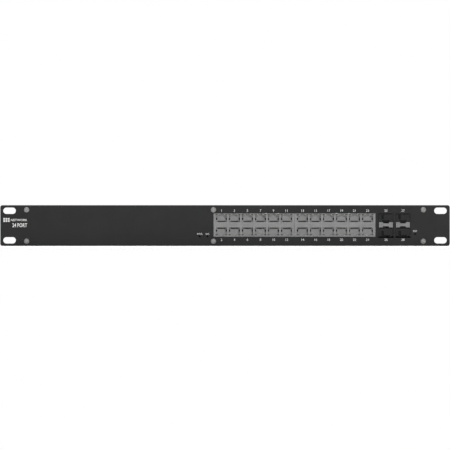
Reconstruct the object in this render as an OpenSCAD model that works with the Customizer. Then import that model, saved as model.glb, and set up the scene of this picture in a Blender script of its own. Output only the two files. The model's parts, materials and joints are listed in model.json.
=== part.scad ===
// Rackmount network switch, 1U: 24 copper ports in two shielded blocks, 4 pluggable-module bays,
// an internal mains supply and two rear fans.
//
// Frame: +X to the right as seen from the front, +Y towards the rear, +Z up, millimetres.
// Origin: centre of the four rack slots, in the rear face of the front panel (the rack rail plane).

/* [Front panel] */
// Width of the panel, the 19 inch rack width
panel_w = 482.6; // [480:0.1:485]
// Height of the panel, one rack unit less clearance
panel_h = 43.7; // [43:0.1:44.4]
// Thickness of the panel
panel_t = 2; // [1.5:0.1:3]
// Radius of the panel's corners
panel_corner_r = 2.5; // [1:0.1:4]
// Distance between the slot centres across the panel
slot_pitch_x = 462.6; // [460:0.1:466]
// Distance between the slot centres up the panel
slot_pitch_z = 31.75; // [31:0.05:32]
// End-to-end length of a slot
slot_len = 13.5; // [9:0.1:14]
// Width of a slot
slot_w = 6.8; // [6.4:0.1:7.2]

/* [Casing] */
// Width of the body behind the panel
body_w = 440; // [436:0.5:446]
// Height of the body
body_h = 42.8; // [42:0.1:43.4]
// Depth of the body behind the panel
body_d = 230; // [225:1:260]
// Thickness of the base sheet
base_t = 1.2; // [1:0.1:1.3]
// Thickness of the cover sheet
cover_t = 1; // [0.8:0.1:1.2]
// Outside radius of the cover's folds
fold_r = 1.8; // [1.4:0.1:2.4]

/* [Ports] */
// Distance between neighbouring copper ports
port_pitch = 13.97; // [13.8:0.01:14.2]
// Centre of the left block across the panel
left_block_x = 31.1; // [30.9:0.1:31.1]
// Centre of the right block across the panel
right_block_x = 118.1; // [118.1:0.1:118.3]
// Height of the line between the two port rows
port_mid_z = 0.8; // [0.6:0.1:1]
// Distance between the two module-bay columns
sfp_pitch = 18.2; // [18:0.1:18.6]
// Centre of the left module-bay column
sfp_left_x = 172.8; // [172.5:0.1:173]

/* [Fans] */
// Side of the square fan frames
fan_size = 40; // [39:0.1:40]
// Depth of the fan frames
fan_d = 20; // [15:1:25]
// Number of blades on an impeller
fan_blades = 7; // [5:1:9]

/* [Hidden] */
$fn = 48;
gap = 0.02; // radial clearance of a shank in its tapped hole
fit = 0.2; // clearance between neighbouring rigid pieces

body_top = body_h / 2;
body_bottom = -body_h / 2;
floor_z = body_bottom + base_t; // inner face of the floor
roof_z = body_top - cover_t; // inner face of the cover
base_x = body_w / 2 - cover_t; // outer face of the base's side lips
lip_h = 13; // height of the side lips above the floor
tail_y = body_d - base_t; // inner face of the rear wall

board_t = 1.6;
board_z = -13; // top face of both circuit boards
main_x = [-44, 214]; // left and right edges of the main board
main_y = [2, 150]; // front and rear edges of the main board
psu_x = [-206, -66];
psu_y = [62, 198];
post_h = board_z - board_t - floor_z; // height of the board posts
post_r = 3;
spigot_r = 2.1; // the post's foot, pressed into the floor

screw_r = 1.5; // M3
head_r = 2.85;
head_h = 1.65;
panel_screw_x = [-212.9, -12.4, 212.9];
panel_screw_z = 16.9;
side_screw_y = [30, 115, 200];
side_screw_z = -14;
rear_screw_x = [-208, -2, 208];
rear_screw_z = 16.6;
main_posts = [[-38, 14], [209.5, 16], [-38, 58], [45, 58], [130, 58], [208, 58],
              [-38, 143], [45, 143], [130, 143], [208, 143]];
psu_posts = [[-200, 68], [-72, 68], [-200, 192], [-72, 192]];

// Copper port block
port_cols = 6;
block_xs = [left_block_x, right_block_x];
block_w = 86.88;
block_y = [-1.9, 28.1]; // from just behind the panel's front face
block_top = 12.95;
nose_low = -11.85; // lower edge of the blocks where they stand in the panel's opening
nose_y = 0.2; // how far back that stretch runs
shield_t = 0.25;
window_x = [left_block_x - block_w / 2 - fit, right_block_x + block_w / 2 + fit]; // the panel's opening
window_z = [nose_low - fit, block_top + fit];
window_r = 0.5;
port_w = 11.8; // plug cavity
port_z0 = 2.95; // cavity's near edge, from the line between the rows
port_z1 = 9.65; // cavity's far edge
latch_w = 6.2; // latch slot, wide step
latch_z = 11;
stem_w = 3.4; // latch slot, narrow step
stem_z = 11.75;
port_depth = 14;
comb_w = 8.3; // trough that holds the eight contacts
comb_d = 1.35;
comb_top = 4.25; // top of the trough where it runs on behind the cavity
pocket_x = 5.25; // earthing-spring pocket, from the port's centre line
pocket_z = 6.25; // earthing-spring pocket, from the line between the rows
pocket_w = 1.3;
pocket_h = 2.25;
pocket_y = 24; // how far back the trough and the pockets run
contact_pitch = 1.016;
led_x = 5.2; // light window, from the port's centre line
led_z = 10.75; // light window, from the line between the rows
led_w = 2.4;
led_h = 1.1;
led_depth = 9;

// Module bays
sfp_xs = [sfp_left_x, sfp_left_x + sfp_pitch];
cage_w = 15.4;
cage_z = [-11.8, 13];
cage_y = [-1.6, 46];
cage_t = 0.25;
divider_z = [-2.05, 3.65];
divider_w = cage_w - 2 * cage_t - 0.04;
divider_notch_w = 6.6;
divider_notch_h = 1.25;
divider_slant = 0.35;
socket_y = cage_y[1] - 7.5; // front of the connectors at the back of the cages
low_bay_z = cage_z[0] + cage_t; // floor of the lower bays
sfp_window_w = 16.4;
sfp_window_z = [-13.2, 12.85];
cage_sill_y = 4; // the cage's floor starts this far back
plug_w = 14.4;
plug_h = 8.4;
plug_len = 13.4;
plug_notch_w = 7.5; // notch in the lower edge of a plug's face
plug_notch_h = [1.15, 1.9]; // in the lower row and in the upper row
plug_notch_d = 2.4;
plug_slot_x = [-4.8, -2.45]; // finger slot in a plug's face
plug_slot_h = 4.3;
plug_slot_lift = [1.15, 3]; // above the plug's underside, in the lower row and in the upper row
plug_slot_d = 1.9;
plug_wall = 1.2;
plug_hollow_y = 5;

// Indicators and reset
status_led_x = [-27.1, -18.9];
status_led_z = -11.7;
status_hole_r = 1;
reset_x = 204;
reset_z = -9.05;
reset_hole_r = 0.95;
reset_travel = 0.25;
reset_y = 5.4;
plunger_r = 1.3;
plunger_len = 4;
lens_r = 0.9;

// Rear fittings
inlet_x = -175;
inlet_z = 0;
inlet_pitch = 40; // between the inlet's two screws
ground_x = -132;
ground_z = -6;
stud_r = 2; // M4
stud_head = 5; // from the stud's head to the rear face of the wall
stud_nut_len = 5; // stretch of the stud that the nut takes
stud_free_len = 7.6;
inlet_face = body_d + 3;
inlet_floor = inlet_face - 17.5;
pin_x = 7;
pin_z = 4;
pin_tail_y = body_d - 23;
fan_xs = [56, 134];
fan_hole = 32; // between the fan's screw holes
fan_r = 19;
fan_wire_x = 18.2; // where a fan's wires leave its frame, from the fan's centre

// Main board parts, x and y of their centres
switch_at = [104, 86];
switch_h = 2.6;
phy_at = [[8, 46], [60, 46], [112, 46]];
phy_h = 1.6;
memory_at = [[152, 76, 13, 9], [152, 92, 13, 9], [60, 92, 8, 6], [176, 74, 10, 10]]; // with width and depth
inductor_at = [[-8, 112], [10, 112], [28, 112], [178, 104], [178, 122]];
capacitor_at = [[-26, 106], [-26, 120], [2, 128], [18, 128], [60, 128], [102, 128], [160, 112], [160, 124]];
dc_in = [-32, 84];
dc_in_h = 8.5;
fan_plug_y = 144;
fan_plug_h = 6;

// Supply parts
transformer_at = [-112, 124];
core_w = 36;
core_d = 13;
core_h = 28;
core_leg = 5;
coil_w = 25.6;
coil_foot = 2;
bulk_at = [[-180, 92], [-154, 92]];
bulk_r = 11;
psu_sink_y = [80, 164];
choke_at = [-182, 138];
film_cap_at = [[-152, 136], [-152, 154]];
output_cap_at = [[-88, 182], [-76, 182]];
fuse_at = [-140, 182];
mains_in_y = 176;
mains_in_h = 4;
dc_out = [-73, 124];
dc_out_h = 9;

// ---------- Shared shapes ----------

// Stands a flat outline, drawn in X and Z, up as a plate from y0 to y1
module upright(y0, y1) {
    translate([0, y1, 0]) rotate([90, 0, 0]) linear_extrude(y1 - y0) children();
}

// Box from its low corner to its high corner
module box(lo, hi) {
    translate(lo) cube(hi - lo);
}

// Flat rectangle from its low corner to its high corner
module rect(lo, hi) {
    translate(lo) square(hi - lo);
}

// Box standing on a circuit board, centred at x, y
module on_board(x, y, w, d, h, z = board_z) {
    translate([x - w / 2, y - d / 2, z]) cube([w, d, h]);
}

// Round part standing on a circuit board
module round_on_board(x, y, r, h, z = board_z) {
    translate([x, y, z]) cylinder(r = r, h = h);
}

// Rectangle with round corners, centred
module round_rect(w, h, r) {
    square([w - 2 * r, h], center = true);
    square([w, h - 2 * r], center = true);
    for (sx = [-1, 1], sz = [-1, 1]) translate([sx * (w / 2 - r), sz * (h / 2 - r)]) circle(r);
}

// Rectangle from x0, z0 to x1, z1 with round corners
module window(x, z, r) {
    translate([(x[0] + x[1]) / 2, (z[0] + z[1]) / 2]) round_rect(x[1] - x[0], z[1] - z[0], r);
}

// Slot with round ends along X
module slot(len, w) {
    square([len - w, w], center = true);
    for (s = [-1, 1]) translate([s * (len - w) / 2, 0]) circle(w / 2);
}

// Slot with round ends along Z
module tall_slot(len, w) {
    square([w, len - w], center = true);
    for (s = [-1, 1]) translate([0, s * (len - w) / 2]) circle(w / 2);
}

// Button-head screw along -Z from its seat at the origin; the head rises along +Z
module button_screw(len) {
    rim = 0.4;
    dome_r = (head_r * head_r + pow(head_h - rim, 2)) / (2 * (head_h - rim));
    difference() {
        union() {
            intersection() {
                cylinder(r = head_r, h = head_h);
                translate([0, 0, head_h - dome_r]) sphere(dome_r);
            }
            translate([0, 0, -len]) cylinder(r = screw_r, h = len + 0.1);
        }
        translate([0, 0, head_h - 1.05]) cylinder(r = 1.155, h = 2, $fn = 6);
    }
}

// Screw driven from the front, its seat in the plane y
module front_screw(x, y, z, len) {
    translate([x, y, z]) rotate([90, 0, 0]) button_screw(len);
}

// Screw driven from the rear, its seat in the plane y
module rear_screw(x, y, z, len) {
    translate([x, y, z]) rotate([-90, 0, 0]) button_screw(len);
}

// Bend of a round wire: starts at the origin along +Z and turns by angle towards +X
module bend(angle, bend_r, r) {
    translate([bend_r, 0, 0]) rotate([90, 0, 180]) rotate_extrude(angle = angle)
        translate([bend_r, 0]) circle(r);
}

// Round wire that leaves a along +Z, crosses over at height top and comes down into b
module jumper(a, b, top, r, bend_r = 4) {
    across = [b[0] - a[0], b[1] - a[1]];
    span = norm(across);
    translate(a) rotate(atan2(across[1], across[0])) {
        cylinder(r = r, h = top - bend_r - a[2]);
        translate([0, 0, top - bend_r - a[2]]) bend(90, bend_r, r);
        translate([bend_r, 0, top - a[2]]) rotate([0, 90, 0]) cylinder(r = r, h = span - 2 * bend_r);
        translate([span - bend_r, 0, top - a[2]]) rotate([0, 90, 0]) bend(90, bend_r, r);
        translate([span, 0, b[2] - a[2]]) cylinder(r = r, h = top - bend_r - b[2]);
    }
}

// Round wire that leaves a towards the front, then turns down into b
module drop(a, b, r, bend_r = 4) {
    translate([a[0], b[1] + bend_r, a[2]]) rotate([-90, 0, 0]) cylinder(r = r, h = a[1] - b[1] - bend_r);
    translate([a[0], b[1] + bend_r, a[2]]) rotate([90, 0, 0]) rotate(-90) bend(90, bend_r, r);
    translate(b) cylinder(r = r, h = a[2] - bend_r - b[2]);
}

// ---------- Casing ----------

module panel_openings(grow = 0) {
    w = sfp_window_w / 2 + grow;
    for (x = sfp_xs) window([x - w, x + w], [sfp_window_z[0] - grow, sfp_window_z[1] + grow], 0.6);
    for (x = status_led_x) translate([x, status_led_z]) circle(status_hole_r + grow);
    translate([reset_x, reset_z]) circle(reset_hole_r + grow);
}

module at_panel_screws() {
    for (x = panel_screw_x, s = [-1, 1]) translate([x, s * panel_screw_z]) children();
}

module front_panel() {
    color("#333333") upright(-panel_t, 0) difference() {
        round_rect(panel_w, panel_h, panel_corner_r);
        for (sx = [-1, 1], sz = [-1, 1])
            translate([sx * slot_pitch_x / 2, sz * slot_pitch_z / 2]) slot(slot_len, slot_w);
        window(window_x, window_z, window_r);
        panel_openings();
        at_panel_screws() circle(screw_r + fit);
    }
}

module fan_grille(x) {
    spoke = 1.8;
    translate([x, 0]) difference() {
        union() for (r = [[9, 11.6], [12.8, 15.4], [16.6, 19]]) difference() {
            circle(r[1]);
            circle(r[0]);
        }
        for (a = [45, 135]) rotate(a) square([2 * fan_r + 2, spoke], center = true);
    }
    for (sx = [-1, 1], sz = [-1, 1])
        translate([x + sx * fan_hole / 2, sz * fan_hole / 2]) circle(screw_r + fit);
}

module rear_openings() {
    inlet_cut_w = 28;
    inlet_cut_h = 20.6;
    translate([inlet_x, inlet_z]) square([inlet_cut_w, inlet_cut_h], center = true);
    for (s = [-1, 1]) translate([inlet_x + s * inlet_pitch / 2, inlet_z]) circle(screw_r + gap);
    translate([ground_x, ground_z]) circle(stud_r + 0.4);
    for (x = fan_xs) fan_grille(x);
    for (x = rear_screw_x) translate([x, rear_screw_z]) circle(screw_r + gap);
    for (i = [0 : 13]) translate([-104 + 6 * i, 0]) tall_slot(20, 2.6);
    for (i = [0 : 4]) translate([176 + 6 * i, 0]) tall_slot(20, 2.6);
}

module chassis_base() {
    color("#3a3b3d") difference() {
        union() {
            box([-base_x, 0, body_bottom], [base_x, body_d, floor_z]);
            upright(0, base_t) difference() {
                rect([-base_x, body_bottom], [base_x, roof_z]);
                rect([window_x[0] - 0.1, board_z - 0.3], [window_x[1] + 0.1, window_z[1] + 0.1]);
                panel_openings(0.3);
                at_panel_screws() circle(screw_r + gap);
            }
            upright(tail_y, body_d) difference() {
                rect([-base_x, body_bottom], [base_x, roof_z]);
                rear_openings();
            }
            for (s = [-1, 1]) mirror([s < 0 ? 1 : 0, 0, 0])
                box([base_x - base_t, base_t / 2, floor_z - 0.1],
                    [base_x, tail_y + base_t / 2, floor_z + lip_h]);
        }
        for (s = [-1, 1], y = side_screw_y) translate([s * base_x, y, side_screw_z]) rotate([0, 90, 0])
            cylinder(r = screw_r + gap, h = 8, center = true);
        for (p = concat(main_posts, psu_posts)) translate([p[0], p[1], body_bottom - 1])
            cylinder(r = spigot_r + gap, h = 4);
    }
}

module cover_profile() {
    difference() {
        union() {
            rect([-body_w / 2, body_bottom], [body_w / 2, body_top - fold_r]);
            rect([-body_w / 2 + fold_r, 0], [body_w / 2 - fold_r, body_top]);
            for (s = [-1, 1]) translate([s * (body_w / 2 - fold_r), body_top - fold_r]) circle(fold_r);
        }
        rect([-base_x, body_bottom - 1], [base_x, roof_z]);
    }
}

module top_cover() {
    vent_len = 24;
    vent_w = 2.6;
    vent_pitch = 6;
    vents = 24;
    tab_w = 18;
    tab_z = 12;
    color("#3a3b3d") difference() {
        union() {
            upright(0, body_d + cover_t) cover_profile();
            for (x = rear_screw_x)
                box([x - tab_w / 2, body_d, tab_z], [x + tab_w / 2, body_d + cover_t, roof_z + 0.1]);
        }
        for (i = [0 : vents - 1]) translate([0, 46 + vent_pitch * i, 4]) rotate([0, 90, 0])
            linear_extrude(body_w + 10, center = true) slot(vent_len, vent_w);
        for (y = side_screw_y) translate([0, y, side_screw_z]) rotate([0, 90, 0])
            cylinder(r = screw_r + fit, h = body_w + 10, center = true);
        for (x = rear_screw_x) translate([x, body_d - 1, rear_screw_z]) rotate([-90, 0, 0])
            cylinder(r = screw_r + fit, h = 4);
    }
}

module front_panel_screws() {
    color("silver") for (x = panel_screw_x, s = [-1, 1]) front_screw(x, -panel_t, s * panel_screw_z, 6);
}

module cover_side_screws() {
    color("#2a2a2c") for (s = [-1, 1], y = side_screw_y)
        translate([s * body_w / 2, y, side_screw_z]) rotate([0, s * 90, 0]) button_screw(5);
}

module cover_rear_screws() {
    color("#2a2a2c") for (x = rear_screw_x) rear_screw(x, body_d + cover_t, rear_screw_z, 5);
}

// ---------- Circuit boards and their fixings ----------

module main_board() {
    color("#14532d") difference() {
        box([main_x[0], main_y[0], board_z - board_t], [main_x[1], main_y[1], board_z]);
        for (p = main_posts) translate([p[0], p[1], board_z - 3]) cylinder(r = screw_r + fit, h = 6);
    }
}

module psu_board() {
    color("#7a5a2a") difference() {
        box([psu_x[0], psu_y[0], board_z - board_t], [psu_x[1], psu_y[1], board_z]);
        for (p = psu_posts) translate([p[0], p[1], board_z - 3]) cylinder(r = screw_r + fit, h = 6);
    }
}

module board_posts() {
    color("silver") for (p = concat(main_posts, psu_posts)) translate([p[0], p[1], 0]) difference() {
        union() {
            translate([0, 0, body_bottom]) cylinder(r = spigot_r, h = base_t + 0.1);
            translate([0, 0, floor_z]) cylinder(r = post_r, h = post_h);
        }
        translate([0, 0, floor_z]) cylinder(r = screw_r + gap, h = post_h + 1);
    }
}

module board_screws() {
    color("silver") for (p = concat(main_posts, psu_posts)) translate([p[0], p[1], board_z]) button_screw(6);
}

// ---------- Copper port blocks ----------

function port_x(col) = (col - (port_cols - 1) / 2) * port_pitch;

// Plug cavity outline for the upper row, from the line between the rows
module port_outline() {
    rect([-port_w / 2, port_z0], [port_w / 2, port_z1]);
    rect([-latch_w / 2, port_z0], [latch_w / 2, latch_z]);
    rect([-stem_w / 2, port_z0], [stem_w / 2, stem_z]);
}

// Repeats a shape at each of a block's ports; the lower row is the upper row mirrored
module at_ports() {
    for (col = [0 : port_cols - 1], row = [0, 1]) translate([port_x(col), 0, port_mid_z])
        mirror([0, 0, row]) children();
}

module led_outline(clear = 0) {
    translate([0, led_z]) square([led_w + clear, led_h + clear], center = true);
}

// What a block leaves free so that its front fits in the panel's opening
module nose_cut() {
    box([-block_w / 2 - 1, block_y[0] - 1, board_z - 1], [block_w / 2 + 1, nose_y, nose_low]);
}

module port_shield(cx) {
    t = shield_t;
    color("#a9abad") translate([cx, 0, 0]) difference() {
        box([-block_w / 2, block_y[0], board_z], [block_w / 2, block_y[1], block_top]);
        box([-block_w / 2 + t, block_y[0] + t, board_z - 1],
            [block_w / 2 - t, block_y[1] - t, block_top - t]);
        nose_cut();
        at_ports() upright(block_y[0] - 1, block_y[0] + 1) {
            port_outline();
            for (s = [-1, 1]) translate([s * led_x, 0]) led_outline();
        }
    }
}

module port_housing(cx) {
    y0 = block_y[0] + shield_t;
    side = block_w / 2 - shield_t;
    color("#8a8a8a") translate([cx, 0, 0]) difference() {
        box([-side, y0, board_z], [side, block_y[1] - shield_t, block_top - shield_t]);
        nose_cut();
        at_ports() {
            upright(y0 - 1, y0 + port_depth) port_outline();
            box([-comb_w / 2, y0 - 1, port_z0 - comb_d], [comb_w / 2, y0 + port_depth, port_z0 + 0.1]);
            box([-comb_w / 2, y0, port_z0 - comb_d], [comb_w / 2, pocket_y, comb_top]);
            for (s = [-1, 1]) {
                upright(y0 - 1, y0 + led_depth) translate([s * led_x, 0]) led_outline();
                upright(y0 + 1, pocket_y) translate([s * pocket_x, pocket_z])
                    square([pocket_w, pocket_h], center = true);
            }
        }
    }
}

module port_contacts(cx) {
    color("gold") translate([cx, 0, 0]) at_ports() for (i = [-3.5 : 1 : 3.5])
        translate([i * contact_pitch, block_y[0] + 2, port_z0 - comb_d + 0.1]) rotate([9, 0, 0])
            translate([-0.2, 0, 0]) cube([0.4, 10.5, 0.3]);
}

module light_pipes(side) {
    for (cx = block_xs) translate([cx, 0, 0]) at_ports()
        upright(block_y[0] + 0.05, block_y[0] + shield_t + led_depth - 0.1)
            translate([side * led_x, 0]) led_outline(-0.06);
}

// ---------- Module bays ----------

module sfp_cage(cx) {
    t = cage_t;
    w = cage_w / 2;
    leg_h = cage_z[0] - board_z;
    color("#a0a2a4") translate([cx, 0, 0]) {
        difference() {
            box([-w, cage_y[0], cage_z[0]], [w, cage_y[1], cage_z[1]]);
            box([-w + t, cage_y[0] - 1, cage_z[0] + t], [w - t, cage_y[1] - t, cage_z[1] - t]);
            box([-w + t, cage_y[0] - 1, cage_z[0] - 1], [w - t, cage_sill_y, cage_z[0] + 1]);
            box([-w - 1, cage_y[0] - 1, sfp_window_z[1] - fit], [w + 1, fit, cage_z[1] + 1]);
        }
        for (x = [-w, w - t])
            box([x, cage_sill_y, board_z], [x + t, cage_y[1], board_z + leg_h + t]);
    }
}

// Thin foam frame behind the panel's flange, around the front of each cage
module sfp_gaskets() {
    outer_w = sfp_pitch - 0.4;
    outer_z = [board_z - 1, cage_z[1] + 1.2];
    color("#1a1a1a") for (x = sfp_xs) translate([x, 0, 0])
        upright(base_t + 0.05, main_y[0] - 0.05) difference() {
            rect([-outer_w / 2, outer_z[0]], [outer_w / 2, outer_z[1]]);
            rect([-cage_w / 2 - 0.05, cage_z[0]], [cage_w / 2 + 0.05, cage_z[1] + 0.05]);
        }
}

// Bow-tie face between an upper and a lower bay
module divider_front() {
    w = divider_w / 2;
    n = divider_notch_w / 2;
    m = n - divider_slant;
    z0 = divider_z[0];
    z1 = divider_z[1];
    h = divider_notch_h;
    polygon([[-w, z0], [-n, z0], [-m, z0 + h], [m, z0 + h], [n, z0], [w, z0],
             [w, z1], [n, z1], [m, z1 - h], [-m, z1 - h], [-n, z1], [-w, z1]]);
}

module sfp_dividers() {
    w = divider_w / 2;
    n = divider_notch_w / 2;
    t = cage_t;
    face_y = cage_y[0] + 0.1;
    notch_y = 9; // the sheets' middle starts this far back
    color("#b4b6b8") for (x = sfp_xs) translate([x, 0, 0]) {
        upright(face_y, face_y + 0.4) divider_front();
        for (z = [divider_z[0], divider_z[1] - t]) difference() {
            box([-w, face_y + 0.1, z], [w, socket_y - 0.5, z + t]);
            box([-n, face_y - 1, z - 1], [n, notch_y, z + 1]);
        }
    }
}

module sfp_connectors() {
    w = 6;
    edge_w = 4.6; // half the width of a card-edge slot
    edge_h = 1.6;
    edge_d = 5;
    color("#202022") for (x = sfp_xs) translate([x, 0, 0]) difference() {
        box([-w, socket_y, cage_z[0] + cage_t + 0.05], [w, cage_y[1] - cage_t - 0.1, cage_z[1] - 2]);
        for (z = [low_bay_z + 3.4, divider_z[1] + 3.4])
            box([-edge_w, socket_y - 1, z], [edge_w, socket_y + edge_d, z + edge_h]);
    }
}

// Plug for the lower bay (row 0) or the upper bay (row 1) of the cage at x
module dust_plug(x, row) {
    side = plug_w / 2;
    low = [low_bay_z, divider_z[1]][row] + fit;
    high = low + plug_h;
    face_y = cage_y[0] + fit;
    inner = side - plug_wall;
    notch = plug_notch_w / 2;
    slot_z = low + plug_slot_lift[row];
    color("#2b2b2b") translate([x, 0, 0]) difference() {
        box([-side, face_y, low], [side, face_y + plug_len, high]);
        box([-notch, face_y - 1, low - 1], [notch, face_y + plug_notch_d, low + plug_notch_h[row]]);
        box([plug_slot_x[0], face_y - 1, slot_z],
            [plug_slot_x[1], face_y + plug_slot_d, slot_z + plug_slot_h]);
        box([-inner, face_y + plug_hollow_y, low + plug_wall],
            [inner, face_y + plug_len + 1, high - plug_wall]);
    }
}

// ---------- Indicators and reset ----------

module status_leds() {
    lens_y = [1.6, 3];
    case_y = [2.6, 5.4];
    case_w = 3.2;
    case_h = 2.6;
    color("#1d2a1d") for (x = status_led_x) {
        on_board(x, (case_y[0] + case_y[1]) / 2, case_w, case_y[1] - case_y[0], case_h);
        upright(lens_y[0], lens_y[1]) translate([x, status_led_z]) circle(lens_r);
    }
}

module reset_switch() {
    color("#222224") difference() {
        on_board(reset_x, reset_y + 1, 6, 4, reset_z + 3 - board_z);
        upright(reset_y - 2, reset_y + 1.6) translate([reset_x, reset_z]) circle(plunger_r + 0.05);
    }
}

module reset_plunger() {
    back_y = reset_y + 1.6 - 0.05 - reset_travel;
    color("#2a2a2c") upright(back_y - plunger_len, back_y) translate([reset_x, reset_z]) circle(plunger_r);
}

// ---------- Main board parts ----------

module switch_chip() {
    color("#1c1c1e") on_board(switch_at[0], switch_at[1], 31, 31, switch_h);
}

// Finned sink on a chip of height chip_h
module heatsink(at, side, chip_h, base_h, fin_h, fins) {
    fin_t = 1.1;
    pitch = (side - fin_t) / (fins - 1);
    z = board_z + chip_h;
    on_board(at[0], at[1], side, side, base_h, z);
    for (i = [0 : fins - 1])
        on_board(at[0] - (side - fin_t) / 2 + i * pitch, at[1], fin_t, side, base_h + fin_h, z);
}

module switch_heatsink() {
    color("#9b9ea3") heatsink(switch_at, 50, switch_h, 3, 14, 13);
}

module phy_chips() {
    color("#1c1c1e") for (p = phy_at) on_board(p[0], p[1], 14, 14, phy_h);
}

module phy_heatsinks() {
    color("#9b9ea3") for (p = phy_at) heatsink(p, 19, phy_h, 2, 7, 7);
}

module memory_chips() {
    color("#1c1c1e") for (c = memory_at) on_board(c[0], c[1], c[2], c[3], 1.2);
}

module power_inductors() {
    color("#3a3a3c") for (p = inductor_at) on_board(p[0], p[1], 12, 12, 7);
}

module board_capacitors() {
    color("#26303a") for (p = capacitor_at) round_on_board(p[0], p[1], 4, 11);
}

module board_connectors() {
    color("#e8e4d8") {
        on_board(dc_in[0], dc_in[1], 8, 26, dc_in_h);
        for (x = fan_xs) on_board(x + fan_wire_x, fan_plug_y, 7.5, 5, fan_plug_h);
    }
}

// ---------- Power supply ----------

module psu_transformer_core() {
    x = transformer_at[0];
    y = transformer_at[1];
    z = board_z + coil_foot;
    color("#2d2d30") difference() {
        on_board(x, y, core_w, core_d, core_h, z);
        on_board(x, y, coil_w + 0.4, core_d + 7, core_h - 2 * core_leg, z + core_leg);
    }
}

// Bobbin and winding; the bobbin's two feet stand on the board
module psu_transformer_coil() {
    x = transformer_at[0];
    y = transformer_at[1];
    coil_d = 28;
    coil_h = core_h - 2 * core_leg - 0.4;
    foot_d = 5;
    low = coil_foot + core_leg + 0.2;
    color("#d8b13a") on_board(x, y, coil_w, coil_d - 2, coil_h, board_z + low);
    color("#2d2d30") for (s = [-1, 1])
        on_board(x, y + s * (coil_d - foot_d) / 2, coil_w, foot_d, low + 0.1);
}

module psu_bulk_capacitors() {
    groove_z = 3.4;
    color("#1f2a44") for (p = bulk_at) difference() {
        round_on_board(p[0], p[1], bulk_r, 30);
        translate([p[0], p[1], board_z + groove_z]) rotate_extrude() translate([bulk_r + 0.2, 0]) circle(0.8);
    }
}

// Upright plate with fins on its rear
module psu_heatsinks() {
    plate_w = 70;
    plate_h = 30;
    fins = 7;
    color("#a4a7ab") for (y = psu_sink_y) {
        on_board(transformer_at[0], y, plate_w, 3, plate_h);
        for (i = [0 : fins - 1])
            on_board(transformer_at[0] + 10 * (i - (fins - 1) / 2), y + 4, 2, 6, plate_h - 2, board_z + 2);
    }
}

module psu_choke() {
    ring_r = 8.8;
    wire_r = 4.4;
    color("#2b2b2b") translate([choke_at[0], choke_at[1], board_z + ring_r + wire_r + 0.2])
        rotate([90, 0, 0]) rotate_extrude() translate([ring_r, 0]) circle(wire_r);
    color("#b06a2c") for (s = [-1, 1]) on_board(choke_at[0] + s * ring_r, choke_at[1], 4, 10, 4);
}

module psu_filter_capacitors() {
    color("#c9a227") for (p = film_cap_at) on_board(p[0], p[1], 26, 10, 18);
    color("#2c5c9c") for (p = output_cap_at) round_on_board(p[0], p[1], 5, 22);
}

module psu_fuse() {
    tube_r = 2.6;
    tube_len = 20;
    color("#d9d9d2") translate([fuse_at[0], fuse_at[1], board_z + 2 * tube_r]) rotate([0, 90, 0])
        cylinder(r = tube_r, h = tube_len, center = true);
    color("silver") for (s = [-1, 1]) on_board(fuse_at[0] + s * 8, fuse_at[1], 3, 5, tube_r + 0.2);
}

module psu_connectors() {
    color("#f0ede2") {
        on_board(inlet_x, mains_in_y, 20, 9, mains_in_h);
        on_board(dc_out[0], dc_out[1], 9, 24, dc_out_h);
    }
}

module psu_insulator() {
    rim = 8;
    color("#c8ccd0") difference() {
        box([psu_x[0] - rim, psu_y[0] - rim, floor_z], [psu_x[1] + rim, psu_y[1] + rim, floor_z + 0.4]);
        for (p = psu_posts) translate([p[0], p[1], floor_z - 1]) cylinder(r = post_r + fit, h = 3);
    }
}

// ---------- Cables ----------

module dc_cable() {
    wires = 4;
    color("#b3231d") for (i = [0 : wires - 1]) {
        along = 6 * (i - (wires - 1) / 2);
        jumper([dc_out[0], dc_out[1] + along, board_z + dc_out_h],
               [dc_in[0], dc_in[1] + along, board_z + dc_in_h], board_z + 22, 0.9);
    }
}

module mains_cable() {
    wire_r = 1.1;
    low = board_z + mains_in_h;
    live_x = inlet_x - pin_x;
    neutral_x = inlet_x + pin_x;
    color("#3b2a1e") drop([live_x, pin_tail_y, -pin_z], [live_x, mains_in_y, low], wire_r);
    color("#1f4e9c") drop([neutral_x, pin_tail_y, -pin_z], [neutral_x, mains_in_y, low], wire_r);
    color("#3f8f3a") rotate([90, 0, 0])
        jumper([inlet_x, pin_z, -pin_tail_y], [ground_x, ground_z, stud_head - body_d],
               10 - pin_tail_y, wire_r);
}

module fan_cables() {
    color("#202022") for (x = fan_xs, k = [-1, 1])
        drop([x + fan_wire_x + k * 0.9, tail_y - fan_d, 11],
             [x + fan_wire_x + k * 0.9, fan_plug_y, board_z + fan_plug_h], 0.7);
}

// ---------- Rear fittings ----------

// Outline of the inlet's plug recess, with two cut corners
module inlet_recess(w, h, cut) {
    polygon([[-w / 2, -h / 2], [w / 2, -h / 2], [w / 2, h / 2 - cut], [w / 2 - cut, h / 2],
             [-w / 2 + cut, h / 2], [-w / 2, h / 2 - cut]]);
}

module ac_inlet() {
    flange_w = 50;
    flange_h = 23;
    color("#1d1d1f") translate([inlet_x, 0, inlet_z]) difference() {
        union() {
            upright(body_d, inlet_face) difference() {
                round_rect(flange_w, flange_h, 3);
                for (s = [-1, 1]) translate([s * inlet_pitch / 2, 0]) circle(screw_r + fit);
            }
            upright(body_d - 19, body_d + 0.5) square([27.6, 20.2], center = true);
        }
        upright(inlet_floor, inlet_face + 1) inlet_recess(24.4, 16.8, 4.5);
        at_pins() box([-1.05, body_d - 24, -2.05], [1.05, inlet_floor + 1, 2.05]);
    }
}

// The earth pin stands over the other two
module at_pins() {
    for (s = [-1, 0, 1]) translate([s * pin_x, 0, s == 0 ? pin_z : -pin_z]) children();
}

module inlet_pins() {
    color("#c9c4b4") translate([inlet_x, 0, inlet_z])
        at_pins() box([-1, pin_tail_y, -2], [1, inlet_floor + 13, 2]);
}

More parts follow.
